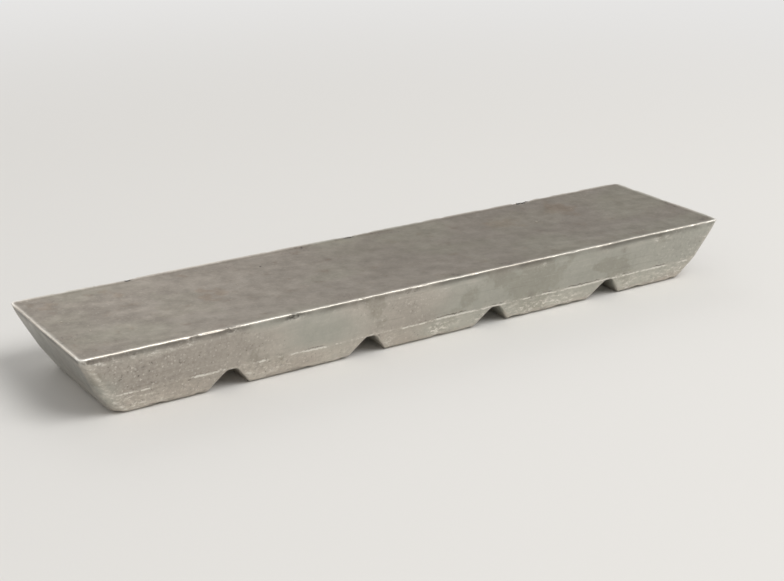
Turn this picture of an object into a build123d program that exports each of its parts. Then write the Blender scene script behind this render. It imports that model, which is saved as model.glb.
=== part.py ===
"""Zinc ingot: one open-mould casting, drafted on every side, with break notches across its narrow foot."""

import os
from math import radians, tan

from build123d import *

os.makedirs("parts", exist_ok=True)

# Driving dimensions, in millimetres and degrees.
# X runs along the bar, Y across it, and Z up from the narrow foot to the wide face that was cast open.
bar_length = 430.0  # over the wide face
bar_width = 100.0  # over the wide face
bar_height = 38.0
rim_land = 1.2  # the upright band at the top of the walls

# The walls lean out from upright, and a little more below the shoulder than above it.
shoulder_height = 13.0
side_draft = 10.5
side_draft_below_shoulder = 19.0
end_draft = 26.0
end_draft_below_shoulder = 32.0

# Upright corners of the mould, as seen from above: crisp at the rim and softer towards the foot.
rim_corner_radius = 3.5
shoulder_corner_radius = 7.0
foot_corner_radius = 10.0
foot_edge_radius = 5.0
rim_edge_radius = 0.8

notch_count = 4
notch_depth = 12.0
notch_mouth = 24.0  # along the bar, where the flanks meet the foot
notch_root = 5.0  # along the bar, across the flat at the top of the notch
notch_root_radius = 1.5
notch_edge_radius = 2.0
cutter_margin = 5.0  # how far the notch cutter runs past the metal

land_base = bar_height - rim_land

# The notches share the length evenly, so the bar breaks into equal pieces.
notch_pitch = bar_length / (notch_count + 1)
first_notch = -notch_pitch * (notch_count - 1) / 2


def wall_setback(height, draft, draft_below_shoulder):
    """How far the wall stands in from the rim at this height."""
    above = land_base - min(max(height, shoulder_height), land_base)
    below = max(shoulder_height - height, 0.0)
    return above * tan(radians(draft)) + below * tan(radians(draft_below_shoulder))


def level_outline(height, corner_radius):
    """The bar's rounded rectangle at this height."""
    length = bar_length - 2 * wall_setback(height, end_draft, end_draft_below_shoulder)
    width = bar_width - 2 * wall_setback(height, side_draft, side_draft_below_shoulder)
    return Pos(0, 0, height) * RectangleRounded(length, width, corner_radius)


def plain_bar():
    """The casting without its notches, with a soft edge round the foot and a small one round the rim."""
    foot = level_outline(0.0, foot_corner_radius)
    shoulder = level_outline(shoulder_height, shoulder_corner_radius)
    rim_base = level_outline(land_base, rim_corner_radius)
    rim = level_outline(bar_height, rim_corner_radius)
    bar = loft([foot, shoulder, rim_base, rim], ruled=True)
    bar = fillet(bar.faces().sort_by(Axis.Z).first.edges(), foot_edge_radius)
    return fillet(bar.faces().sort_by(Axis.Z).last.edges(), rim_edge_radius)


def notch_cutter():
    """A prism across the bar with the shape of one ridge of the mould floor."""
    flank_run = (notch_mouth - notch_root) / 2 / notch_depth
    half_mouth = notch_mouth / 2 + flank_run * cutter_margin
    half_root = notch_root / 2
    ridge = Polygon(
        (-half_mouth, -cutter_margin),
        (half_mouth, -cutter_margin),
        (half_root, notch_depth),
        (-half_root, notch_depth),
        align=None,
    )
    ridge = fillet(ridge.vertices().group_by(Axis.Y)[-1], notch_root_radius)
    return extrude(Plane.XZ * ridge, amount=bar_width / 2 + cutter_margin, both=True)


def notch_lips(bar):
    """The straight edges where the notch flanks meet the foot."""
    across = bar.edges().filter_by(Axis.Y)
    return across.group_by(Axis.Z)[0].sort_by(Axis.X)[1:-1]


def notched_bar():
    """The whole ingot. The rounding of each lip runs on round the notch where it opens on the side walls."""
    cutter = notch_cutter()
    notches = [Pos(first_notch + i * notch_pitch, 0, 0) * cutter for i in range(notch_count)]
    bar = plain_bar() - notches
    return fillet(notch_lips(bar), notch_edge_radius)


ingot = notched_bar()
export_step(ingot, "parts/zinc_ingot.step")
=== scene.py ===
import math

import bpy
import numpy as np
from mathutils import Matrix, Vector


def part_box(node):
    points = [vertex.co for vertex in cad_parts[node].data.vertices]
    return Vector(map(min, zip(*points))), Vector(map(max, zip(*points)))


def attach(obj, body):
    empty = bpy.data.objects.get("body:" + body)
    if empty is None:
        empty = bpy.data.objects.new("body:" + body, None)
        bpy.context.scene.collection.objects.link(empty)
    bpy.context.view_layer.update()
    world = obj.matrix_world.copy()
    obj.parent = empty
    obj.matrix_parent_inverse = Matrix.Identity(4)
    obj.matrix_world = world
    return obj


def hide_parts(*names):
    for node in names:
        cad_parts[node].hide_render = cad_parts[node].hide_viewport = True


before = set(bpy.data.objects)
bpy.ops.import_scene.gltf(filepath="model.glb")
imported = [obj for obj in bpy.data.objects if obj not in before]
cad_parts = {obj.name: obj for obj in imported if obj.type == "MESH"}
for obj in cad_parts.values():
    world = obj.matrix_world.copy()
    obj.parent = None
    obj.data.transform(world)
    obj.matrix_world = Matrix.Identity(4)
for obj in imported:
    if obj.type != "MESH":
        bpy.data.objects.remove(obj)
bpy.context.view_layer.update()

# The ingot: one bar of zinc poured into an open iron mould. The mould gives the leaning walls, the
# narrow foot and the break notches, and the wide face froze in the open air. Its sizes follow the CAD.
bar_length, bar_width, bar_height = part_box("zinc_ingot")[1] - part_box("zinc_ingot")[0]
notch_count = 4
notch_pitch = bar_length / (notch_count + 1)
first_notch = -notch_pitch * (notch_count - 1) / 2
notch_depth = 0.012
notch_mouth = 0.024
notch_root = 0.005
shoulder_height = 0.013


def add(tree, kind, inputs=(), **settings):
    """Adds a node with its settings, and links or fills its inputs, given by place or by name."""
    node = tree.nodes.new(kind)
    for name, value in settings.items():
        setattr(node, name, value)
    shown = [socket for socket in node.inputs if socket.enabled]
    pairs = inputs.items() if isinstance(inputs, dict) else enumerate(inputs)
    for key, value in pairs:
        socket = shown[key] if isinstance(key, int) else next(s for s in shown if s.name == key)
        if isinstance(value, bpy.types.Node):
            value = next(s for s in value.outputs if s.enabled)
        if isinstance(value, bpy.types.NodeSocket):
            tree.links.new(value, socket)
        else:
            socket.default_value = value
    return node


def linear(hex_colour):
    """An sRGB hex colour as linear red, green, blue and alpha."""
    shares = [int(hex_colour[i:i + 2], 16) / 255 for i in (1, 3, 5)]
    return [s / 12.92 if s <= 0.04045 else ((s + 0.055) / 1.055) ** 2.4 for s in shares] + [1.0]


# Cast zinc under a thin oxide film: a warm satin grey, greener and cooler in places, browner on the
# open face. The open face and the ends are painted darker as shade. Rubbed edges show bright metal, and
# the rim, its corners and the shoulder step carry painted highlights. The hollows are darker, a painted
# shadow lies in the groove under the rim, and the pits and ragged holes are painted dark as shade.
cast_zinc = bpy.data.materials.new("cast_zinc")
cast_zinc.use_nodes = True
skin = cast_zinc.node_tree
shader = skin.nodes["Principled BSDF"]
place = add(skin, "ShaderNodeTexCoord").outputs["Object"]
mark_names = ("proud_mm", "edge_mm", "inner_face", "outer_wall", "low_band", "groove", "end_wall",
              "rim_corner", "dross", "ragged", "splash")
mark = {}
for name in mark_names:
    mark[name] = add(skin, "ShaderNodeAttribute", attribute_name=name).outputs["Fac"]
along_bar, _, level = add(skin, "ShaderNodeSeparateXYZ", [place]).outputs
not_inner = add(skin, "ShaderNodeMath", [1.0, mark["inner_face"]], operation="SUBTRACT")

# Patterns in metres, each number one wave: clouds tens of millimetres long, mottling of 8.5 mm, and
# grain and specks of 1 to 2 mm. The real grit is finer, and is drawn as coarse as the eye needs here.
cloud_place = add(skin, "ShaderNodeVectorMath", [place, (0.055, 0.030, 0.024)], operation="DIVIDE")
cloud = add(skin, "ShaderNodeTexNoise", [cloud_place, 1.0, 3.0, 0.5])
cool_place = add(skin, "ShaderNodeVectorMath", [place, (0.110, 0.060, 0.050)], operation="DIVIDE")
cool = add(skin, "ShaderNodeTexNoise", [cool_place, 1.0, 2.0, 0.5])
mottle = add(skin, "ShaderNodeTexNoise", [place, 1 / 0.0085, 4.0, 0.55])
grain = add(skin, "ShaderNodeTexNoise", [place, 1 / 0.0019, 3.0, 0.6])
speckle = add(skin, "ShaderNodeTexNoise", [place, 1 / 0.0021, 2.0, 0.7])

# the film's own colour, with painted shade that darkens the ends and the open face
lighter = add(skin, "ShaderNodeMapRange", [cloud, 0.34, 0.66], interpolation_type="SMOOTHSTEP")
wall_film_shaded = add(skin, "ShaderNodeMix", [lighter, linear("#ADA69D"), linear("#BFB9AF")], data_type="RGBA")
cooler = add(skin, "ShaderNodeMapRange", [cool, 0.46, 0.60], interpolation_type="SMOOTHSTEP")
cooler_share = add(skin, "ShaderNodeMath", [cooler, 0.6], operation="MULTIPLY")
wall_film_shaded = add(skin, "ShaderNodeMix", [cooler_share, wall_film_shaded, linear("#A8AAA1")], data_type="RGBA")
# the ends in a cooler grey, painted darker as shade
end_tone_and_shade = add(skin, "ShaderNodeMath", [mark["end_wall"], 0.6], operation="MULTIPLY")
wall_film_shaded = add(skin, "ShaderNodeMix", [end_tone_and_shade, wall_film_shaded, linear("#9C9B97")], data_type="RGBA")
# the open face: a browner film, painted darker as shade
open_film_shaded = add(skin, "ShaderNodeMix", [lighter, linear("#7A7267"), linear("#857D72")], data_type="RGBA")
olive = add(skin, "ShaderNodeMath", [cooler, 0.5], operation="MULTIPLY")
open_film_shaded = add(skin, "ShaderNodeMix", [olive, open_film_shaded, linear("#7C7969")], data_type="RGBA")
rusty = add(skin, "ShaderNodeTexNoise", [place, 1 / 0.043, 4.0, 0.65])
rusty = add(skin, "ShaderNodeMapRange", [rusty, 0.59, 0.68, 0.0, 0.5], interpolation_type="SMOOTHSTEP")
open_film_shaded = add(skin, "ShaderNodeMix", [rusty, open_film_shaded, linear("#756450")], data_type="RGBA")
rust_spot = add(skin, "ShaderNodeTexNoise", [place, 1 / 0.012, 3.0, 0.6])
rust_spot = add(skin, "ShaderNodeMapRange", [rust_spot, 0.59, 0.76, 0.0, 0.50],
                interpolation_type="SMOOTHSTEP")
open_film_shaded = add(skin, "ShaderNodeMix", [rust_spot, open_film_shaded, linear("#66533F")], data_type="RGBA")
colour = add(skin, "ShaderNodeMix", [mark["inner_face"], wall_film_shaded, open_film_shaded], data_type="RGBA")

# stains with ragged borders, where the bar got wet
stain = add(skin, "ShaderNodeTexNoise", [place, 1 / 0.052, 5.0, 0.6])
stain = add(skin, "ShaderNodeMapRange", [stain, 0.56, 0.61, 0.0, 0.30], interpolation_type="SMOOTHSTEP")
colour = add(skin, "ShaderNodeMix", [stain, colour, linear("#827D6E")], data_type="RGBA")

# the grit of the mould's coating: strong in the warm patches of the walls, along the foot and toward
# the ends, weaker on the ends themselves, and nearly gone where the film is cool and smooth
toward_end = add(skin, "ShaderNodeMath", [along_bar], operation="ABSOLUTE")
toward_end = add(skin, "ShaderNodeMapRange", [toward_end, bar_length / 2 - 0.070, bar_length / 2 - 0.030])
gritty = add(skin, "ShaderNodeMapRange", [cool, 0.56, 0.42, 0.15, 0.65], interpolation_type="SMOOTHSTEP")
gritty = add(skin, "ShaderNodeMath", [mark["low_band"], 0.36, gritty], operation="MULTIPLY_ADD")
gritty = add(skin, "ShaderNodeMath", [toward_end, 0.52, gritty], operation="MULTIPLY_ADD")
gritty_wall = add(skin, "ShaderNodeMath", [mark["inner_face"], -0.85, 1.0], operation="MULTIPLY_ADD")
gritty = add(skin, "ShaderNodeMath", [gritty, gritty_wall], operation="MULTIPLY")
off_end = add(skin, "ShaderNodeMath", [mark["end_wall"], -0.65, 1.0], operation="MULTIPLY_ADD")
gritty = add(skin, "ShaderNodeMath", [gritty, off_end], operation="MULTIPLY")
grit = add(skin, "ShaderNodeMath", [speckle, 0.5], operation="SUBTRACT")
grit = add(skin, "ShaderNodeMath", [grit, gritty], operation="MULTIPLY")

# its light and dark: soft clouds, fine grain, the grit, streaks down the ends, and on the open face
# skim marks and freckles
streak_place = add(skin, "ShaderNodeVectorMath", [place, (0.0035, 0.0035, 0.050)], operation="DIVIDE")
streak = add(skin, "ShaderNodeTexNoise", [streak_place, 1.0, 2.0, 0.5])
streak = add(skin, "ShaderNodeMapRange", [streak, 0.3, 0.7, -0.10, 0.10])
streak = add(skin, "ShaderNodeMath", [streak, mark["end_wall"]], operation="MULTIPLY")
skim_place = add(skin, "ShaderNodeMapping", {"Vector": place, "Rotation": (0, 0, math.radians(-14)),
                                             "Scale": (0.075, 0.0055, 0.020)}, vector_type="TEXTURE")
skim = add(skin, "ShaderNodeTexNoise", [skim_place, 1.0, 3.0, 0.6])
skim = add(skin, "ShaderNodeMapRange", [skim, 0.3, 0.7, -0.055, 0.055])
freckle = add(skin, "ShaderNodeMath", [mottle, 0.32, -0.27], operation="MULTIPLY_ADD")
freckle = add(skin, "ShaderNodeMath", [grain, 0.22, freckle], operation="MULTIPLY_ADD")
skim = add(skin, "ShaderNodeMath", [skim, freckle], operation="ADD")
skim = add(skin, "ShaderNodeMath", [skim, mark["inner_face"]], operation="MULTIPLY")
clouded = add(skin, "ShaderNodeMapRange", [mottle, 0.3, 0.7, 0.965, 1.035])
shade = add(skin, "ShaderNodeMapRange", [grain, 0.25, 0.75, 0.965, 1.035])
shade = add(skin, "ShaderNodeMath", [shade, clouded], operation="MULTIPLY")
shade = add(skin, "ShaderNodeMath", [shade, streak], operation="ADD")
shade = add(skin, "ShaderNodeMath", [shade, skim], operation="ADD")
shade = add(skin, "ShaderNodeMath", [grit, -0.6, shade], operation="MULTIPLY_ADD")
shade = add(skin, "ShaderNodeMath", [mark["low_band"], 0.17, shade], operation="MULTIPLY_ADD")
colour = add(skin, "ShaderNodeVectorMath", {0: colour, "Scale": shade}, operation="SCALE")

# flow streaks along the walls, where the metal slid up the mould as it filled
flow_place = add(skin, "ShaderNodeVectorMath", [place, (0.040, 0.025, 0.0016)], operation="DIVIDE")
flow = add(skin, "ShaderNodeTexNoise", [flow_place, 1.0, 3.0, 0.6])
flow_light = add(skin, "ShaderNodeMapRange", [flow, 0.56, 0.74, 0.0, 0.22],
                 interpolation_type="SMOOTHSTEP")
flow_light = add(skin, "ShaderNodeMath", [flow_light, mark["outer_wall"]], operation="MULTIPLY")
colour = add(skin, "ShaderNodeMix", [flow_light, colour, linear("#CBC6BC")], data_type="RGBA")
flow_dark = add(skin, "ShaderNodeMapRange", [flow, 0.42, 0.28, 0.0, 0.20],
                interpolation_type="SMOOTHSTEP")
flow_dark = add(skin, "ShaderNodeMath", [flow_dark, mark["outer_wall"]], operation="MULTIPLY")
colour = add(skin, "ShaderNodeMix", [flow_dark, colour, linear("#7C766C")], data_type="RGBA")

# single specks in the grit: dark pits, and light grains that lie apart, each in a cell of its own
dark_speck = add(skin, "ShaderNodeMapRange", [speckle, 0.64, 0.76, 0.0, 0.7],
                 interpolation_type="SMOOTHSTEP")
dark_speck = add(skin, "ShaderNodeMath", [dark_speck, gritty], operation="MULTIPLY")
colour = add(skin, "ShaderNodeMix", [dark_speck, colour, linear("#5A544B")], data_type="RGBA")
speck_bend = add(skin, "ShaderNodeTexNoise", [place, 1 / 0.0010, 2.0, 0.6]).outputs["Color"]
speck_place = add(skin, "ShaderNodeVectorMath", [speck_bend, (0.0020, 0.0020, 0.0020), place],
                  operation="MULTIPLY_ADD")
speck_cells = add(skin, "ShaderNodeTexVoronoi", [speck_place, 1 / 0.0017])
speck_luck = add(skin, "ShaderNodeSeparateXYZ", [speck_cells.outputs["Color"]])
speck_chance = add(skin, "ShaderNodeMath", [speck_luck, 0.4], operation="GREATER_THAN")
speck_size = add(skin, "ShaderNodeMapRange", [speck_luck, 0.4, 1.0, 0.15, 0.50])
light_speck = add(skin, "ShaderNodeMapRange", [speck_cells.outputs["Distance"], speck_size, 0.05])
light_speck = add(skin, "ShaderNodeMath", [light_speck, speck_chance], operation="MULTIPLY")
light_speck = add(skin, "ShaderNodeMath", [light_speck, gritty], operation="MULTIPLY")
colour = add(skin, "ShaderNodeMix", [light_speck, colour, linear("#DAD6CD")], data_type="RGBA")

# sparse pinholes, where gas came out as the metal froze, each painted dark as the shade in its hole,
# with a dark stain about each
pin_bend = add(skin, "ShaderNodeTexNoise", [place, 1 / 0.0030, 1.0, 0.5]).outputs["Color"]
pin_place = add(skin, "ShaderNodeVectorMath", [pin_bend, (0.0022, 0.0022, 0.0022), place],
                operation="MULTIPLY_ADD")
pin_cells = add(skin, "ShaderNodeTexVoronoi", [pin_place, 1 / 0.014])
from_pin = pin_cells.outputs["Distance"]
pin_luck = add(skin, "ShaderNodeSeparateXYZ", [pin_cells.outputs["Color"]])
pin_chance = add(skin, "ShaderNodeMath", [pin_luck, 0.87], operation="GREATER_THAN")
pin_size = add(skin, "ShaderNodeMapRange", [pin_luck, 0.87, 1.0, 0.035, 0.095])
pin = add(skin, "ShaderNodeMapRange", [from_pin, pin_size, 0.02], interpolation_type="SMOOTHSTEP")
pin = add(skin, "ShaderNodeMath", [pin, pin_chance], operation="MULTIPLY")
pin_stain = add(skin, "ShaderNodeMapRange", [from_pin, 0.30, 0.05, 0.0, 0.3],
                interpolation_type="SMOOTHSTEP")
pin_stain = add(skin, "ShaderNodeMath", [pin_stain, pin_chance], operation="MULTIPLY")
colour = add(skin, "ShaderNodeMix", [pin_stain, colour, linear("#7D766A")], data_type="RGBA")
# the hole itself, painted near black as shade
colour = add(skin, "ShaderNodeMix", [pin, colour, linear("#37332D")], data_type="RGBA")

# brown dross skimmed against the rim of the open face, with dark crumbs in it
dross = add(skin, "ShaderNodeMath", [mark["dross"], 0.55], operation="MULTIPLY")
colour = add(skin, "ShaderNodeMix", [dross, colour, linear("#66594E")], data_type="RGBA")
dross_crumb = add(skin, "ShaderNodeMapRange", [speckle, 0.56, 0.64], interpolation_type="SMOOTHSTEP")
dross_crumb = add(skin, "ShaderNodeMath", [dross_crumb, mark["dross"]], operation="MULTIPLY")
colour = add(skin, "ShaderNodeMix", [dross_crumb, colour, linear("#3A332C")], data_type="RGBA")

# darker in the hollows, a painted shadow line in the groove under the rim, and crumbs of dirt along the
# foot
dark_hollows_shadow_and_crumbs = add(skin, "ShaderNodeMath", [mottle, 0.25, mark["proud_mm"]], operation="MULTIPLY_ADD")
dark_hollows_shadow_and_crumbs = add(skin, "ShaderNodeMapRange", [dark_hollows_shadow_and_crumbs, 0.05, -0.20, 0.0, 0.6], interpolation_type="SMOOTHSTEP")
dark_hollows_shadow_and_crumbs = add(skin, "ShaderNodeMath", [dark_hollows_shadow_and_crumbs, not_inner], operation="MULTIPLY")
rim_shadow_line = add(skin, "ShaderNodeMath", [mark["groove"], 0.60], operation="MULTIPLY")
dark_hollows_shadow_and_crumbs = add(skin, "ShaderNodeMath", [dark_hollows_shadow_and_crumbs, rim_shadow_line], operation="MAXIMUM")
by_foot = add(skin, "ShaderNodeMapRange", [level, 0.0045, 0.0010], interpolation_type="SMOOTHSTEP")
crumb = add(skin, "ShaderNodeMapRange", [mottle, 0.52, 0.60, 0.0, 0.8], interpolation_type="SMOOTHSTEP")
crumb = add(skin, "ShaderNodeMath", [crumb, by_foot], operation="MULTIPLY")
crumb = add(skin, "ShaderNodeMath", [crumb, mark["outer_wall"]], operation="MULTIPLY")
dark_hollows_shadow_and_crumbs = add(skin, "ShaderNodeMath", [dark_hollows_shadow_and_crumbs, crumb], operation="MAXIMUM")
colour = add(skin, "ShaderNodeMix", [dark_hollows_shadow_and_crumbs, colour, linear("#4C4740")], data_type="RGBA")

# wear on what stands proud, partly a painted highlight where the rim and the upright corners catch the
# light: almost whole along the rim, and broken on the rounder edges
at_rim = add(skin, "ShaderNodeMapRange", [level, bar_height - 0.0035, bar_height - 0.0015])
patchy = add(skin, "ShaderNodeTexNoise", [place, 1 / 0.0055, 4.0, 0.7])
patchy_rim = add(skin, "ShaderNodeMath", [at_rim, 0.17, patchy], operation="MULTIPLY_ADD")
patchy_rim = add(skin, "ShaderNodeMapRange", [patchy_rim, 0.47, 0.63], interpolation_type="SMOOTHSTEP")
wear_and_highlight = add(skin, "ShaderNodeMapRange", [mark["proud_mm"], 0.05, 0.16], interpolation_type="SMOOTHSTEP")
wear_and_highlight = add(skin, "ShaderNodeMath", [wear_and_highlight, patchy_rim], operation="MULTIPLY")
soft_edge = add(skin, "ShaderNodeMapRange", [mark["edge_mm"], 0.05, 0.20],
                interpolation_type="SMOOTHSTEP")
edge_breaks = add(skin, "ShaderNodeMapRange", [patchy, 0.36, 0.60, 0.30, 0.85])
soft_edge = add(skin, "ShaderNodeMath", [soft_edge, edge_breaks], operation="MULTIPLY")
wear_and_highlight = add(skin, "ShaderNodeMath", [wear_and_highlight, soft_edge], operation="MAXIMUM")

# spots rubbed bright where the bars knock together: on the low band, most of all at its ends, and
# along the upright corners, where the brightness is also a painted highlight
knocked = add(skin, "ShaderNodeTexNoise", [place, 1 / 0.026, 2.0, 0.5])
knocked = add(skin, "ShaderNodeMapRange", [knocked, 0.43, 0.57, 0.18, 1.0])
knocked = add(skin, "ShaderNodeMath", [knocked, toward_end], operation="MAXIMUM")
rub_place = add(skin, "ShaderNodeVectorMath", [place, (0.0045, 0.0045, 0.0017)], operation="DIVIDE")
rubbed = add(skin, "ShaderNodeTexNoise", [rub_place, 1.0, 4.0, 0.75])
rubbed = add(skin, "ShaderNodeMapRange", [rubbed, 0.47, 0.58])
rub_breaks = add(skin, "ShaderNodeMapRange", [grain, 0.38, 0.52, 0.30, 1.0])
upright = add(skin, "ShaderNodeMapRange", [mark["edge_mm"], 0.04, 0.12, 0.0, 0.8])
knock_zone = add(skin, "ShaderNodeMath", [mark["low_band"], upright], operation="MAXIMUM")
for share in (rub_breaks, knocked, off_end, knock_zone, mark["outer_wall"]):
    rubbed = add(skin, "ShaderNodeMath", [rubbed, share], operation="MULTIPLY")
wear_and_highlight = add(skin, "ShaderNodeMath", [wear_and_highlight, rubbed], operation="MAXIMUM")

# the fine step at the shoulder, where the mould wall changes its lean: a bright line that wanders
# and breaks, partly rubbed metal and partly a painted highlight on its lit lip, with a line of painted
# shade above it. Both noises are 0.5 on average, which step_level allows for.
step_wander = 0.0024
step_tooth = 0.0018
step_level = shoulder_height - step_wander / 2 + step_tooth / 2
wander = add(skin, "ShaderNodeTexNoise", [place, 1 / 0.024, 4.0, 0.7])
over_step = add(skin, "ShaderNodeMath", [wander, -step_wander, level], operation="MULTIPLY_ADD")
over_step = add(skin, "ShaderNodeMath", [grain, step_tooth, over_step], operation="MULTIPLY_ADD")
over_step = add(skin, "ShaderNodeMath", [over_step, step_level], operation="SUBTRACT")
step_breaks = add(skin, "ShaderNodeTexNoise", [place, 1 / 0.018, 4.0, 0.7])
step_width = add(skin, "ShaderNodeMapRange", [step_breaks, 0.38, 0.58, 0.0004, 0.0013])
step = add(skin, "ShaderNodeMath", [over_step], operation="ABSOLUTE")
step = add(skin, "ShaderNodeMapRange", [step, step_width, 0.0002], interpolation_type="SMOOTHSTEP")
step_shows = add(skin, "ShaderNodeMapRange", [step_breaks, 0.38, 0.54], interpolation_type="SMOOTHSTEP")
step_shows = add(skin, "ShaderNodeMath", [step_shows, grain], operation="MULTIPLY")
step_shows = add(skin, "ShaderNodeMapRange", [step_shows, 0.10, 0.45])
for share in (mark["outer_wall"], step_shows, off_end):
    step = add(skin, "ShaderNodeMath", [step, share], operation="MULTIPLY")
wear_and_highlight = add(skin, "ShaderNodeMath", [wear_and_highlight, step], operation="MAXIMUM")
step_shade_line = add(skin, "ShaderNodeMath", [over_step, 0.0011], operation="SUBTRACT")
step_shade_line = add(skin, "ShaderNodeMath", [step_shade_line], operation="ABSOLUTE")
step_shade_line = add(skin, "ShaderNodeMapRange", [step_shade_line, 0.0006, 0.0002], interpolation_type="SMOOTHSTEP")
step_shade_shows = add(skin, "ShaderNodeMapRange", [step_breaks, 0.50, 0.60, 0.0, 0.7])
for share in (mark["outer_wall"], step_shade_shows, off_end):
    step_shade_line = add(skin, "ShaderNodeMath", [step_shade_line, share], operation="MULTIPLY")
# the painted shade above the step
colour = add(skin, "ShaderNodeMix", [step_shade_line, colour, linear("#4C4740")], data_type="RGBA")

# the bare metal of all these places and of the splashes, and none on the open face. It is lightest on
# the rubbed spots, and as a painted highlight on the step and at the rim corners.
wear_and_highlight = add(skin, "ShaderNodeMath", [wear_and_highlight, not_inner], operation="MULTIPLY")
wear_and_highlight = add(skin, "ShaderNodeMath", [wear_and_highlight, mark["splash"]], operation="MAXIMUM")
rubs_and_highlights = add(skin, "ShaderNodeMath", [rubbed, step], operation="MAXIMUM")
rubs_and_highlights = add(skin, "ShaderNodeMath", [rubs_and_highlights, mark["rim_corner"]], operation="MAXIMUM")
bare_zinc_and_highlight = add(skin, "ShaderNodeMix", [cloud, linear("#BDB4A6"), linear("#D8D4CC")], data_type="RGBA")
bare_zinc_and_highlight = add(skin, "ShaderNodeMix", [rubs_and_highlights, bare_zinc_and_highlight, linear("#E6E3DC")], data_type="RGBA")
colour = add(skin, "ShaderNodeMix", [wear_and_highlight, colour, bare_zinc_and_highlight], data_type="RGBA")

# ragged places in the rim: holes painted dark as their shade, with bright beads between them
hole_shade = add(skin, "ShaderNodeMapRange", [grain, 0.56, 0.46], interpolation_type="SMOOTHSTEP")
hole_shade = add(skin, "ShaderNodeMath", [hole_shade, mark["ragged"]], operation="MULTIPLY")
colour = add(skin, "ShaderNodeMix", [hole_shade, colour, linear("#35312B")], data_type="RGBA")
shine = add(skin, "ShaderNodeMath", [wear_and_highlight, hole_shade], operation="SUBTRACT")
shine = add(skin, "ShaderNodeMath", [shine, 0.0], operation="MAXIMUM")

# the film is satin and its grit a little duller, and bare metal shines; both have a fine relief
roughness = add(skin, "ShaderNodeMapRange", [mottle, 0.3, 0.7, 0.48, 0.38])
roughness = add(skin, "ShaderNodeMath", [gritty, 0.05, roughness], operation="MULTIPLY_ADD")
roughness = add(skin, "ShaderNodeMix", [shine, roughness, 0.43])
metal = add(skin, "ShaderNodeMix", [shine, 0.85, 1.0])
fold_place = add(skin, "ShaderNodeMapping", {"Vector": place, "Rotation": (0, 0, math.radians(35)),
                                             "Scale": (0.0120, 0.0028, 0.0060)}, vector_type="TEXTURE")
fold = add(skin, "ShaderNodeTexNoise", [fold_place, 1.0, 2.0, 0.5])
height = add(skin, "ShaderNodeMath", [grain, 0.35, fold], operation="MULTIPLY_ADD")
height = add(skin, "ShaderNodeMath", [grit, -2.5, height], operation="MULTIPLY_ADD")
height = add(skin, "ShaderNodeMath", [step, 0.8, height], operation="MULTIPLY_ADD")
height = add(skin, "ShaderNodeMath", [step_shade_line, -1.2, height], operation="MULTIPLY_ADD")
height = add(skin, "ShaderNodeMath", [pin, -3.0, height], operation="MULTIPLY_ADD")
bump = add(skin, "ShaderNodeBump", {"Strength": 0.6, "Distance": 0.00007, "Height": height})
finish = {"Base Color": colour, "Roughness": roughness, "Metallic": metal, "Normal": bump}
for socket, node in finish.items():
    skin.links.new(next(s for s in node.outputs if s.enabled), shader.inputs[socket])


# The blank for the casting: a closed box of quads whose grid lines lie closer together where the
# ingot has its edges, its shoulder and its notches. The mould's shape is then given to its points.
def grid_lines(end, zones, coarse_step):
    """Places from 0 to end, a coarse step apart, and closer in the zones (low, high, step)."""
    places = np.linspace(0, end, 5000)
    step = np.full(places.shape, coarse_step)
    for low, high, zone_step in zones:
        step[(places >= low) & (places <= high)] = zone_step
    lines = np.concatenate([[0], np.cumsum(np.diff(places) / step[1:])])
    return np.interp(np.linspace(0, lines[-1], round(lines[-1]) + 1), lines, places)


def both_ways(half):
    """The same places on both sides of the middle."""
    return np.concatenate([-half[:0:-1], half])


def blank_box(along, across, upward):
    """A closed box mesh of quads through these grid lines."""
    last = (len(along) - 1, len(across) - 1, len(upward) - 1)
    points, faces, number = [], [], {}

    def point(i, j, k):
        if (i, j, k) not in number:
            number[i, j, k] = len(points)
            points.append((along[i], across[j], upward[k]))
        return number[i, j, k]

    def side(axis, level, outward):
        first, second = [a for a in range(3) if a != axis]
        for a in range(last[first]):
            for b in range(last[second]):
                loop = []
                for da, db in ((0, 0), (1, 0), (1, 1), (0, 1)):
                    at = [0, 0, 0]
                    at[axis], at[first], at[second] = level, a + da, b + db
                    loop.append(point(*at))
                faces.append(loop if outward else loop[::-1])

    for axis, turned in ((0, False), (1, True), (2, False)):
        side(axis, 0, turned)
        side(axis, last[axis], not turned)
    mesh = bpy.data.meshes.new("ingot_blank")
    mesh.from_pydata(points, [], faces)
    return mesh


along_zones = [(bar_length / 2 - 0.012, bar_length / 2, 0.0008)]
for notch in range(notch_count // 2):
    centre = (notch + 0.5) * notch_pitch
    past_flank = notch_mouth / 2 + 0.002
    along_zones.append((centre - past_flank, centre + past_flank, 0.00085))
across_zones = [(bar_width / 2 - 0.008, bar_width / 2, 0.0008)]
upward_zones = [
    (0, 0.005, 0.0006),
    (shoulder_height - 0.003, shoulder_height + 0.003, 0.001),
    (bar_height - 0.004, bar_height, 0.0004),
]
along = both_ways(grid_lines(bar_length / 2, along_zones, 0.0015))
across = both_ways(grid_lines(bar_width / 2, across_zones, 0.0017))
upward = grid_lines(bar_height, upward_zones, 0.0015)
ingot_mesh = blank_box(along, across, upward)
ingot = bpy.data.objects.new("ingot", ingot_mesh)
bpy.context.scene.collection.objects.link(ingot)


def new_geometry_tree(name, sizes):
    """A geometry tree with one named input for each size, and the node that gives them."""
    tree = bpy.data.node_groups.new(name, "GeometryNodeTree")
    tree.interface.new_socket("Geometry", in_out="INPUT", socket_type="NodeSocketGeometry")
    for size in sizes:
        tree.interface.new_socket(size, in_out="INPUT", socket_type="NodeSocketFloat")
    tree.interface.new_socket("Geometry", in_out="OUTPUT", socket_type="NodeSocketGeometry")
    return tree, tree.nodes.new("NodeGroupInput").outputs


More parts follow.
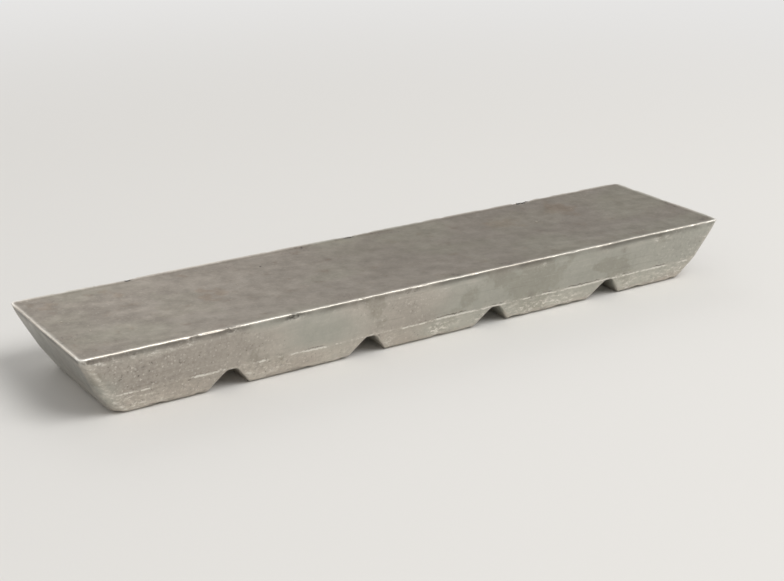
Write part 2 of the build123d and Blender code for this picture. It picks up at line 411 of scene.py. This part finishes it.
def end_tree(tree, made, material):
    """Ends a geometry tree: what it made is realized and gets its material."""
    made = add(tree, "GeometryNodeRealizeInstances", [made])
    made = add(tree, "GeometryNodeSetMaterial", {"Geometry": made, "Material": material})
    add(tree, "NodeGroupOutput", [made])


def run_tree(obj, tree, sizes):
    """Puts the tree on the object with its inputs set, and keeps the result as a plain mesh."""
    modifier = obj.modifiers.new(tree.name, "NODES")
    modifier.node_group = tree
    for item in tree.interface.items_tree:
        if item.name in sizes:
            modifier[item.identifier] = sizes[item.name]
    shaped = obj.evaluated_get(bpy.context.evaluated_depsgraph_get())
    mesh = bpy.data.meshes.new_from_object(shaped)
    obj.modifiers.remove(modifier)
    obj.data = mesh


# The mould's shape, as a rule for every point of the blank: each level is drawn in by the lean of the
# walls, its corners are rounded, and the foot is lifted over the mould's four ridges. The lean of the
# ends draws in only the last stretch of the length, so the notches stay in their places.
drawn_in_length = 0.065
form_sizes = {
    "Length": bar_length,
    "Width": bar_width,
    "Height": bar_height,
    "Rim Land": 0.0012,
    "Shoulder": shoulder_height,
    "Side Slope": math.tan(math.radians(10.5)),
    "Side Slope Below": math.tan(math.radians(19.0)),
    "End Slope": math.tan(math.radians(26.0)),
    "End Slope Below": math.tan(math.radians(32.0)),
    "Foot Corner": 0.010,
    "Rim Corner": 0.0035,
    "Foot Edge": 0.0036,
    "Notch Edge": 0.0014,
    "Rim Edge": 0.0006,
    "First Notch": first_notch,
    "Notch Pitch": notch_pitch,
    "Last Notch Number": notch_count - 1,
    "Notch Mouth": notch_mouth,
    "Notch Depth": notch_depth,
    "Notch Slope": notch_depth / ((notch_mouth - notch_root) / 2),
    "Steady Half Length": bar_length / 2 - drawn_in_length,
}
form, size = new_geometry_tree("cast_form", form_sizes)
blank_point = form.nodes.new("GeometryNodeInputPosition")
x, y, z = add(form, "ShaderNodeSeparateXYZ", [blank_point]).outputs

from_first = add(form, "ShaderNodeMath", [x, size["First Notch"]], operation="SUBTRACT")
pitches = add(form, "ShaderNodeMath", [from_first, size["Notch Pitch"]], operation="DIVIDE")
nearest = add(form, "ShaderNodeMath", [pitches], operation="ROUND")
nearest = add(form, "ShaderNodeMath", [nearest, 0.0], operation="MAXIMUM")
nearest = add(form, "ShaderNodeMath", [nearest, size["Last Notch Number"]], operation="MINIMUM")
centre = add(form, "ShaderNodeMath", [nearest, size["Notch Pitch"]], operation="MULTIPLY")
from_centre = add(form, "ShaderNodeMath", [from_first, centre], operation="SUBTRACT")
from_centre = add(form, "ShaderNodeMath", [from_centre], operation="ABSOLUTE")
half_mouth = add(form, "ShaderNodeMath", [size["Notch Mouth"], 0.5], operation="MULTIPLY")
inside_mouth = add(form, "ShaderNodeMath", [half_mouth, from_centre], operation="SUBTRACT")
flank = add(form, "ShaderNodeMath", [inside_mouth, size["Notch Slope"]], operation="MULTIPLY")
ridge = add(form, "ShaderNodeMath", [flank, size["Notch Depth"], 0.0012], operation="SMOOTH_MIN")
ridge = add(form, "ShaderNodeMath", [ridge, 0.0, 0.0016], operation="SMOOTH_MAX")

ridge_share = add(form, "ShaderNodeMath", [ridge, size["Height"]], operation="DIVIDE")
left_share = add(form, "ShaderNodeMath", [1.0, ridge_share], operation="SUBTRACT")
over_ridge = add(form, "ShaderNodeMath", [z, left_share], operation="MULTIPLY")
level = add(form, "ShaderNodeMath", [over_ridge, ridge], operation="ADD")

depth_share = add(form, "ShaderNodeMath", [ridge, size["Notch Depth"]], operation="DIVIDE")
foot_reach = add(form, "ShaderNodeMix", [depth_share, size["Foot Edge"], size["Notch Edge"]])
rim_gap = add(form, "ShaderNodeMath", [size["Height"], level], operation="SUBTRACT")


def edge_rounding(gap, reach):
    """How far an edge of this reach stands in at a gap from its face."""
    left = add(form, "ShaderNodeMath", [reach, gap], operation="SUBTRACT")
    left = add(form, "ShaderNodeMath", [left, 0.0], operation="MAXIMUM")
    left = add(form, "ShaderNodeMath", [left, left], operation="MULTIPLY")
    square = add(form, "ShaderNodeMath", [reach, reach], operation="MULTIPLY")
    square = add(form, "ShaderNodeMath", [square, left], operation="SUBTRACT")
    root = add(form, "ShaderNodeMath", [square], operation="SQRT")
    return add(form, "ShaderNodeMath", [reach, root], operation="SUBTRACT")


foot_rounding = edge_rounding(over_ridge, foot_reach)
rim_rounding = edge_rounding(rim_gap, size["Rim Edge"])
rounding = add(form, "ShaderNodeMath", [foot_rounding, rim_rounding], operation="ADD")

below_land = add(form, "ShaderNodeMath", [rim_gap, size["Rim Land"]], operation="SUBTRACT")
below_land = add(form, "ShaderNodeMath", [below_land, 0.0], operation="MAXIMUM")
below_shoulder = add(form, "ShaderNodeMath", [size["Shoulder"], level], operation="SUBTRACT")
below_shoulder = add(form, "ShaderNodeMath", [below_shoulder, 0.0, 0.001], operation="SMOOTH_MAX")


def half_span(span, slope, slope_below):
    """Half the bar's length or width at this level, rounded edges taken off, and half of it in full."""
    extra = add(form, "ShaderNodeMath", [slope_below, slope], operation="SUBTRACT")
    lean = add(form, "ShaderNodeMath", [below_land, slope], operation="MULTIPLY")
    inset = add(form, "ShaderNodeMath", [below_shoulder, extra, lean], operation="MULTIPLY_ADD")
    inset = add(form, "ShaderNodeMath", [inset, rounding], operation="ADD")
    half = add(form, "ShaderNodeMath", [span, 0.5], operation="MULTIPLY")
    return add(form, "ShaderNodeMath", [half, inset], operation="SUBTRACT"), half


half_length, half_bar = half_span(size["Length"], size["End Slope"], size["End Slope Below"])
half_width, half_rim = half_span(size["Width"], size["Side Slope"], size["Side Slope Below"])

from_middle = add(form, "ShaderNodeMath", [x], operation="ABSOLUTE")
steady = add(form, "ShaderNodeMath", [from_middle, size["Steady Half Length"]], operation="MINIMUM")
past = add(form, "ShaderNodeMath", [from_middle, steady], operation="SUBTRACT")
left_now = add(form, "ShaderNodeMath", [half_length, size["Steady Half Length"]], operation="SUBTRACT")
left_before = add(form, "ShaderNodeMath", [half_bar, size["Steady Half Length"]], operation="SUBTRACT")
draw_in = add(form, "ShaderNodeMath", [left_now, left_before], operation="DIVIDE")
x_drawn = add(form, "ShaderNodeMath", [past, draw_in, steady], operation="MULTIPLY_ADD")
y_drawn = add(form, "ShaderNodeMath", [y], operation="ABSOLUTE")
draw_in = add(form, "ShaderNodeMath", [half_width, half_rim], operation="DIVIDE")
y_drawn = add(form, "ShaderNodeMath", [y_drawn, draw_in], operation="MULTIPLY")

corner = add(form, "ShaderNodeMapRange", {"Value": level, "From Max": size["Height"],
                                          "To Min": size["Foot Corner"], "To Max": size["Rim Corner"]})
corner = add(form, "ShaderNodeMath", [corner, rounding], operation="SUBTRACT")
corner = add(form, "ShaderNodeMath", [corner, 0.0003], operation="MAXIMUM")


def into_corner(drawn, half):
    """How far a point is into the corner square, as a share of its side."""
    start = add(form, "ShaderNodeMath", [half, corner], operation="SUBTRACT")
    reach = add(form, "ShaderNodeMath", [drawn, start], operation="SUBTRACT")
    reach = add(form, "ShaderNodeMath", [reach, 0.0], operation="MAXIMUM")
    return add(form, "ShaderNodeMath", [reach, corner], operation="DIVIDE")


x_share = into_corner(x_drawn, half_length)
y_share = into_corner(y_drawn, half_width)
larger = add(form, "ShaderNodeMath", [x_share, y_share], operation="MAXIMUM")
shares = add(form, "ShaderNodeCombineXYZ", [x_share, y_share])
radial = add(form, "ShaderNodeVectorMath", [shares], operation="LENGTH").outputs["Value"]
radial = add(form, "ShaderNodeMath", [radial, 1e-6], operation="MAXIMUM")
to_circle = add(form, "ShaderNodeMath", [larger, radial], operation="DIVIDE")
to_circle = add(form, "ShaderNodeMath", [1.0, to_circle], operation="SUBTRACT")
pull = add(form, "ShaderNodeMath", [to_circle, corner], operation="MULTIPLY")


def rounded(drawn, share, sign_of):
    """The coordinate once the square corner is drawn into a round one, with its sign back."""
    back = add(form, "ShaderNodeMath", [share, pull], operation="MULTIPLY")
    magnitude = add(form, "ShaderNodeMath", [drawn, back], operation="SUBTRACT")
    sign = add(form, "ShaderNodeMath", [sign_of], operation="SIGN")
    return add(form, "ShaderNodeMath", [magnitude, sign], operation="MULTIPLY")


x_shaped = rounded(x_drawn, x_share, x)
y_shaped = rounded(y_drawn, y_share, y)
shaped_place = add(form, "ShaderNodeCombineXYZ", [x_shaped, y_shaped, level])
shaped = add(form, "GeometryNodeSetPosition", {"Geometry": size["Geometry"], "Position": shaped_place})
end_tree(form, shaped, cast_zinc)
run_tree(ingot, form, form_sizes)


# The relief of the casting. The open face sank as it froze, inside a bead along the rim, and kept the
# swell of the pour and a few splashes. The walls copy the mould's coating. Edges are knocked, and the
# rim is ragged in places. All of it goes inwards, so the bar keeps the size of its mould.
pour_point = Vector((-0.130, 0.012, bar_height))
ripple_length = 0.011
relief_sizes = {
    "Length": bar_length,
    "Width": bar_width,
    "Height": bar_height,
    "Rim Bead": 0.0005,
    "Top Sink": 0.0008,
    "Swells": 0.00045,
    "Ripples": 0.00005,
    "Wall Waves": 0.0005,
    "Wall Bands": 0.00022,
    "Grain": 0.00010,
    "Foot Roughness": 0.00022,
    "Groove Under Rim": 0.00035,
    "Dents": 0.0006,
    "Chips": 0.0009,
    "Rim Wobble": 0.0006,
    "Ragged Rim": 0.0011,
    "Smallest Splash": 0.0003,
    "Largest Splash": 0.0009,
    "Splashes To A Square Metre": 2500.0,
}
relief, size = new_geometry_tree("cast_relief", relief_sizes)
position = relief.nodes.new("GeometryNodeInputPosition")
normal = relief.nodes.new("GeometryNodeInputNormal")
x, y, level = add(relief, "ShaderNodeSeparateXYZ", [position]).outputs
faces_x, faces_y, faces_up = add(relief, "ShaderNodeSeparateXYZ", [normal]).outputs
open_face = add(relief, "ShaderNodeMapRange", [faces_up, 0.6, 0.95], interpolation_type="SMOOTHSTEP")
foot = add(relief, "ShaderNodeMapRange", [faces_up, -0.6, -0.95], interpolation_type="SMOOTHSTEP")
not_wall = add(relief, "ShaderNodeMath", [open_face, foot], operation="ADD")
wall = add(relief, "ShaderNodeMath", [1.0, not_wall], operation="SUBTRACT")


def from_face(along_axis, span):
    """How far a point is inside the bar's box along this axis, and half the box's span."""
    half = add(relief, "ShaderNodeMath", [span, 0.5], operation="MULTIPLY")
    away = add(relief, "ShaderNodeMath", [along_axis], operation="ABSOLUTE")
    return add(relief, "ShaderNodeMath", [half, away], operation="SUBTRACT"), half


from_end, half_length = from_face(x, size["Length"])
from_side, half_width = from_face(y, size["Width"])
inside_rim = add(relief, "ShaderNodeMath", [from_end, from_side, 0.004], operation="SMOOTH_MIN")
rim_gap = add(relief, "ShaderNodeMath", [size["Height"], level], operation="SUBTRACT")


def how_proud(iterations):
    """How far a point stands out from the smoothed surface round it, in metres."""
    smoothed = add(relief, "GeometryNodeBlurAttribute", {"Value": position, "Iterations": iterations},
                   data_type="FLOAT_VECTOR")
    out = add(relief, "ShaderNodeVectorMath", [position, smoothed], operation="SUBTRACT")
    return add(relief, "ShaderNodeVectorMath", [out, normal], operation="DOT_PRODUCT").outputs["Value"]


edge = add(relief, "ShaderNodeMapRange", [how_proud(3), 0.00004, 0.00025],
           interpolation_type="SMOOTHSTEP")
fine = add(relief, "ShaderNodeTexNoise", [position, 1 / 0.0055, 3.0, 0.6])

# how far each point of the open face lies under the rim
bead = add(relief, "ShaderNodeMapRange", [inside_rim, 0.0004, 0.005], interpolation_type="SMOOTHSTEP")
sunk = add(relief, "ShaderNodeMath", [bead, size["Rim Bead"]], operation="MULTIPLY")
middle = add(relief, "ShaderNodeMapRange", [inside_rim, 0.004, 0.035], interpolation_type="SMOOTHSTEP")
sunk = add(relief, "ShaderNodeMath", [middle, size["Top Sink"], sunk], operation="MULTIPLY_ADD")
swell_place = add(relief, "ShaderNodeVectorMath", [position, (0.050, 0.032, 0.032)], operation="DIVIDE")
swell = add(relief, "ShaderNodeTexNoise", [swell_place, 1.0, 1.0, 0.5])
sunk = add(relief, "ShaderNodeMath", [swell, size["Swells"], sunk], operation="MULTIPLY_ADD")
from_pour = add(relief, "ShaderNodeVectorMath", [position, pour_point], operation="SUBTRACT")
reach = add(relief, "ShaderNodeVectorMath", [from_pour], operation="LENGTH").outputs["Value"]
bend = add(relief, "ShaderNodeTexNoise", [position, 1 / 0.030, 2.0, 0.5])
reach = add(relief, "ShaderNodeMath", [bend, 0.02, reach], operation="MULTIPLY_ADD")
ring = add(relief, "ShaderNodeMath", [reach, 2 * math.pi / ripple_length], operation="MULTIPLY")
ring = add(relief, "ShaderNodeMath", [ring], operation="SINE")
ring_shows = add(relief, "ShaderNodeMapRange", [bend, 0.46, 0.60], interpolation_type="SMOOTHSTEP")
ring = add(relief, "ShaderNodeMath", [ring, ring_shows], operation="MULTIPLY")
sunk = add(relief, "ShaderNodeMath", [ring, size["Ripples"], sunk], operation="MULTIPLY_ADD")
sunk = add(relief, "ShaderNodeMath", [fine, size["Grain"], sunk], operation="MULTIPLY_ADD")
inwards = add(relief, "ShaderNodeMath", [sunk, open_face], operation="MULTIPLY")

# how far each point of the walls lies inside the mould
wave = add(relief, "ShaderNodeTexNoise", [position, 1 / 0.060, 2.0, 0.5])
worn = add(relief, "ShaderNodeMath", [wave, size["Wall Waves"]], operation="MULTIPLY")
band_place = add(relief, "ShaderNodeVectorMath", [position, (0.054, 0.054, 0.006)], operation="DIVIDE")
band = add(relief, "ShaderNodeTexNoise", [band_place, 1.0, 2.0, 0.5])
worn = add(relief, "ShaderNodeMath", [band, size["Wall Bands"], worn], operation="MULTIPLY_ADD")
worn = add(relief, "ShaderNodeMath", [fine, size["Grain"], worn], operation="MULTIPLY_ADD")
low_band = add(relief, "ShaderNodeMapRange", [level, shoulder_height + 0.003, shoulder_height - 0.006],
               interpolation_type="SMOOTHSTEP")
rough = add(relief, "ShaderNodeTexNoise", [position, 1 / 0.0032, 2.0, 0.5])
rough = add(relief, "ShaderNodeMath", [rough, low_band], operation="MULTIPLY")
rough = add(relief, "ShaderNodeMath", [rough, size["Foot Roughness"]], operation="MULTIPLY")
worn = add(relief, "ShaderNodeMath", [worn, rough], operation="ADD")
groove_top = add(relief, "ShaderNodeMapRange", [rim_gap, 0.0007, 0.0017],
                 interpolation_type="SMOOTHSTEP")
groove = add(relief, "ShaderNodeMapRange", [rim_gap, 0.0055, 0.0018], interpolation_type="SMOOTHSTEP")
groove_shows = add(relief, "ShaderNodeTexNoise", [position, 1 / 0.021, 2.0, 0.5])
groove_shows = add(relief, "ShaderNodeMapRange", [groove_shows, 0.35, 0.6, 0.25])
for share in (groove_top, groove_shows, wall):
    groove = add(relief, "ShaderNodeMath", [groove, share], operation="MULTIPLY")
worn = add(relief, "ShaderNodeMath", [groove, size["Groove Under Rim"], worn], operation="MULTIPLY_ADD")
dent_cells = add(relief, "ShaderNodeTexVoronoi", [position, 1 / 0.030])
dent_chance = add(relief, "ShaderNodeSeparateXYZ", [dent_cells.outputs["Color"]])
dented = add(relief, "ShaderNodeMath", [dent_chance, 0.62], operation="GREATER_THAN")
from_dent = dent_cells.outputs["Distance"]
dent = add(relief, "ShaderNodeMapRange", [from_dent, 0.17, 0.05], interpolation_type="SMOOTHSTEP")
dent = add(relief, "ShaderNodeMath", [dent, dented], operation="MULTIPLY")
worn = add(relief, "ShaderNodeMath", [dent, size["Dents"], worn], operation="MULTIPLY_ADD")
inwards = add(relief, "ShaderNodeMath", [worn, wall, inwards], operation="MULTIPLY_ADD")
inwards = add(relief, "ShaderNodeMath", [rough, foot, inwards], operation="MULTIPLY_ADD")

# chips out of the edges, and ragged places in the rim where the metal came up short
chip = add(relief, "ShaderNodeTexNoise", [position, 1 / 0.011, 1.0, 0.5])
chip = add(relief, "ShaderNodeMapRange", [chip, 0.52, 0.74], interpolation_type="SMOOTHSTEP")
chip = add(relief, "ShaderNodeMath", [chip, edge], operation="MULTIPLY")
inwards = add(relief, "ShaderNodeMath", [chip, size["Chips"], inwards], operation="MULTIPLY_ADD")
ragged_place = add(relief, "ShaderNodeVectorMath", [position, (0.160, 0, 0)], operation="ADD")
ragged = add(relief, "ShaderNodeTexNoise", [ragged_place, 1 / 0.047, 2.0, 0.5])
ragged = add(relief, "ShaderNodeMapRange", [ragged, 0.60, 0.66], interpolation_type="SMOOTHSTEP")
by_rim = add(relief, "ShaderNodeMath", [rim_gap, from_side, 0.0005], operation="SMOOTH_MAX")
by_rim = add(relief, "ShaderNodeMapRange", [by_rim, 0.0045, 0.0020], interpolation_type="SMOOTHSTEP")
ragged = add(relief, "ShaderNodeMath", [ragged, by_rim], operation="MULTIPLY")
torn = add(relief, "ShaderNodeTexNoise", [position, 1 / 0.0030, 2.0, 0.6])
torn = add(relief, "ShaderNodeMapRange", [torn, 0.35, 0.65], interpolation_type="SMOOTHSTEP")
torn = add(relief, "ShaderNodeMath", [torn, ragged], operation="MULTIPLY")
inwards = add(relief, "ShaderNodeMath", [torn, size["Ragged Rim"], inwards], operation="MULTIPLY_ADD")
outwards = add(relief, "ShaderNodeMath", [inwards, -1.0], operation="MULTIPLY")
moved = add(relief, "ShaderNodeVectorMath", {0: normal, "Scale": outwards}, operation="SCALE")

# the rim's outline wanders, and takes the upper wall with it
near_top = add(relief, "ShaderNodeMapRange", [rim_gap, 0.012, 0.0], interpolation_type="SMOOTHSTEP")
wander = add(relief, "ShaderNodeTexNoise", [position, 1 / 0.023, 2.0, 0.5])
wander = add(relief, "ShaderNodeMapRange", [wander, 0.30, 0.75, 0.0, -1.0])
wander = add(relief, "ShaderNodeMath", [wander, size["Rim Wobble"]], operation="MULTIPLY")
wander = add(relief, "ShaderNodeMath", [wander, near_top], operation="MULTIPLY")


def outward_share(along_axis, away):
    """Which way is out along this axis, fading away from the bar's own edge."""
    fading = add(relief, "ShaderNodeMapRange", [away, 0.010, 0.0], interpolation_type="SMOOTHSTEP")
    sign = add(relief, "ShaderNodeMath", [along_axis], operation="SIGN")
    return add(relief, "ShaderNodeMath", [sign, fading], operation="MULTIPLY")


back_in = add(relief, "ShaderNodeCombineXYZ", [outward_share(x, from_end), outward_share(y, from_side)])
back_in = add(relief, "ShaderNodeVectorMath", {0: back_in, "Scale": wander}, operation="SCALE")
moved = add(relief, "ShaderNodeVectorMath", [moved, back_in], operation="ADD")
casting = add(relief, "GeometryNodeSetPosition", {"Geometry": size["Geometry"], "Offset": moved})

# nothing stands out past the box that the mould fills
highest = add(relief, "ShaderNodeCombineXYZ", [half_length, half_width, size["Height"]])
lowest = add(relief, "ShaderNodeVectorMath", [highest, (-1, -1, 0)], operation="MULTIPLY")
kept_in = add(relief, "ShaderNodeVectorMath", [position, lowest], operation="MAXIMUM")
kept_in = add(relief, "ShaderNodeVectorMath", [kept_in, highest], operation="MINIMUM")
casting = add(relief, "GeometryNodeSetPosition", {"Geometry": casting, "Position": kept_in})

# what the skin reads: how far each point stands proud, and which part of the casting it is in
proud_mm = add(relief, "ShaderNodeMath", [how_proud(3), 1000.0], operation="MULTIPLY")
off_rim = add(relief, "ShaderNodeMapRange", [inside_rim, 0.001, 0.004], interpolation_type="SMOOTHSTEP")
inner_face = add(relief, "ShaderNodeMath", [open_face, off_rim], operation="MULTIPLY")
edge_mm = add(relief, "ShaderNodeMath", [how_proud(12), 1000.0], operation="MULTIPLY")
steep_side = add(relief, "ShaderNodeMath", [faces_y], operation="ABSOLUTE")
steep_side = add(relief, "ShaderNodeMapRange", [steep_side, 0.5, 0.8], interpolation_type="SMOOTHSTEP")
steep_end = add(relief, "ShaderNodeMath", [faces_x], operation="ABSOLUTE")
steep_end = add(relief, "ShaderNodeMapRange", [steep_end, 0.5, 0.8], interpolation_type="SMOOTHSTEP")
end_wall = add(relief, "ShaderNodeMapRange", [from_end, 0.034, 0.026], interpolation_type="SMOOTHSTEP")
end_wall = add(relief, "ShaderNodeMath", [end_wall, steep_end], operation="MULTIPLY")
outer_wall = add(relief, "ShaderNodeMath", [end_wall, steep_side], operation="MAXIMUM")
outer_wall = add(relief, "ShaderNodeMath", [outer_wall, wall], operation="MULTIPLY")
rim_corner = add(relief, "ShaderNodeMath", [from_end, from_side], operation="ADD")
rim_corner = add(relief, "ShaderNodeMath", [rim_corner, rim_gap], operation="ADD")
rim_corner = add(relief, "ShaderNodeMapRange", [rim_corner, 0.012, 0.005],
                 interpolation_type="SMOOTHSTEP")
by_inner_rim = add(relief, "ShaderNodeMapRange", [inside_rim, 0.016, 0.003])
dross = add(relief, "ShaderNodeTexNoise", [position, 1 / 0.034, 4.0, 0.65])
dross = add(relief, "ShaderNodeMapRange", [dross, 0.55, 0.63], interpolation_type="SMOOTHSTEP")
dross = add(relief, "ShaderNodeMath", [dross, by_inner_rim], operation="MULTIPLY")
dross = add(relief, "ShaderNodeMath", [dross, inner_face], operation="MULTIPLY")
marks = {
    "proud_mm": proud_mm,
    "edge_mm": edge_mm,
    "inner_face": inner_face,
    "outer_wall": outer_wall,
    "low_band": low_band,
    "groove": groove,
    "end_wall": end_wall,
    "rim_corner": rim_corner,
    "dross": dross,
    "ragged": ragged,
}
for name, value in marks.items():
    stored = {"Geometry": casting, "Name": name, "Value": value}
    casting = add(relief, "GeometryNodeStoreNamedAttribute", stored)

# small splashes that froze on the open face, in clusters, with their metal a little bare
cluster = add(relief, "ShaderNodeTexNoise", [position, 1 / 0.036, 2.0, 0.6])
cluster = add(relief, "ShaderNodeMapRange", [cluster, 0.50, 0.68], interpolation_type="SMOOTHSTEP")
density = add(relief, "ShaderNodeMath", [cluster, size["Splashes To A Square Metre"]],
              operation="MULTIPLY")
density = add(relief, "ShaderNodeMath", [density, inner_face], operation="MULTIPLY")
where = {"Mesh": casting, "Density": density, "Seed": 4}
spots = add(relief, "GeometryNodeDistributePointsOnFaces", where)
drop = add(relief, "GeometryNodeMeshIcoSphere", {"Radius": 1.0, "Subdivisions": 2})
stored = {"Geometry": drop, "Name": "splash", "Value": 0.3}
drop = add(relief, "GeometryNodeStoreNamedAttribute", stored)
drop_range = {"Min": size["Smallest Splash"], "Max": size["Largest Splash"], "Seed": 5}
drop_size = add(relief, "FunctionNodeRandomValue", drop_range, data_type="FLOAT")
drop_height = add(relief, "ShaderNodeMath", [drop_size, 0.5], operation="MULTIPLY")
drop_scale = add(relief, "ShaderNodeCombineXYZ", [drop_size, drop_size, drop_height])
each_drop = {"Points": spots, "Instance": drop, "Scale": drop_scale}
drops = add(relief, "GeometryNodeInstanceOnPoints", each_drop)
whole = add(relief, "GeometryNodeJoinGeometry", [casting])
relief.links.new(drops.outputs["Instances"], whole.inputs["Geometry"])
whole = add(relief, "GeometryNodeSetShadeSmooth", {"Geometry": whole})
end_tree(relief, whole, cast_zinc)
run_tree(ingot, relief, relief_sizes)

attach(ingot, "root")
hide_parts("zinc_ingot")

# The studio: a plain pale floor that fades into a pale room, and soft light. The camera looks at the
# bar from its front left, from a little above, as the photograph shows the bars that lie side-on.
room_colour = linear("#FFFEFD")
room_seen = 0.80
room_light = 0.50


def seen_direct(tree):
    """1 for rays that come from the camera, or from it by a reflection or through glass, and else 0."""
    ray = add(tree, "ShaderNodeLightPath").outputs
    direct = add(tree, "ShaderNodeMath", [ray["Is Camera Ray"], ray["Is Glossy Ray"]], operation="ADD")
    direct = add(tree, "ShaderNodeMath", [direct, ray["Is Transmission Ray"]], operation="ADD")
    return add(tree, "ShaderNodeMath", [direct, 1.0], operation="MINIMUM")


bpy.ops.mesh.primitive_plane_add(size=30)
floor = bpy.context.object
floor.name = "floor"
paper = bpy.data.materials.new("pale_paper")
paper.use_nodes = True
sheet = paper.node_tree
paper_shader = sheet.nodes["Principled BSDF"]
paper_shader.inputs["Base Color"].default_value = linear("#DEDCD8")
paper_shader.inputs["Roughness"].default_value = 0.9
seen = seen_direct(sheet)
floor_place = add(sheet, "ShaderNodeTexCoord").outputs["Object"]
from_bar = add(sheet, "ShaderNodeVectorMath", [floor_place], operation="LENGTH").outputs["Value"]
faded = add(sheet, "ShaderNodeMapRange", [from_bar, 0.4, 1.4], interpolation_type="SMOOTHSTEP")
faded = add(sheet, "ShaderNodeMath", [faded, seen], operation="MULTIPLY")
far_floor = add(sheet, "ShaderNodeEmission", [room_colour, room_seen])
whole_floor = add(sheet, "ShaderNodeMixShader", [faded, paper_shader, far_floor])
sheet.links.new(whole_floor.outputs[0], sheet.nodes["Material Output"].inputs["Surface"])
floor.data.materials.append(paper)


def soft_lamp(name, place, size, power):
    """A square area lamp, aimed at the foot of the bar."""
    data = bpy.data.lights.new(name, "AREA")
    data.size = size
    data.energy = power
    lamp = bpy.data.objects.new(name, data)
    lamp.location = place
    lamp.rotation_mode = "QUATERNION"
    lamp.rotation_quaternion = (-Vector(place)).to_track_quat("-Z", "Y")
    bpy.context.scene.collection.objects.link(lamp)


soft_lamp("key", place=(1.0, -1.8, 2.5), size=2.0, power=75)
soft_lamp("back", place=(0.4, 2.4, 1.6), size=1.6, power=8)
world = bpy.data.worlds.new("studio")
bpy.context.scene.world = world
world.use_nodes = True
room = world.node_tree
strength = add(room, "ShaderNodeMix", [seen_direct(room), room_light, room_seen])
room.nodes["Background"].inputs["Color"].default_value = room_colour
room.links.new(strength.outputs[0], room.nodes["Background"].inputs["Strength"])

azimuth, elevation, distance = math.radians(-33), math.radians(20), 0.90
back = Vector((math.sin(azimuth) * math.cos(elevation), -math.cos(azimuth) * math.cos(elevation),
               math.sin(elevation)))
target = Vector((0, 0, bar_height * 0.45))
camera = bpy.data.objects.new("camera", bpy.data.cameras.new("camera"))
camera.location = target + back * distance
camera.rotation_mode = "QUATERNION"
camera.rotation_quaternion = (-back).to_track_quat("-Z", "Y")
camera.data.lens = 70
bpy.context.scene.collection.objects.link(camera)
bpy.context.scene.camera = camera
bpy.context.scene.view_settings.view_transform = "Standard"
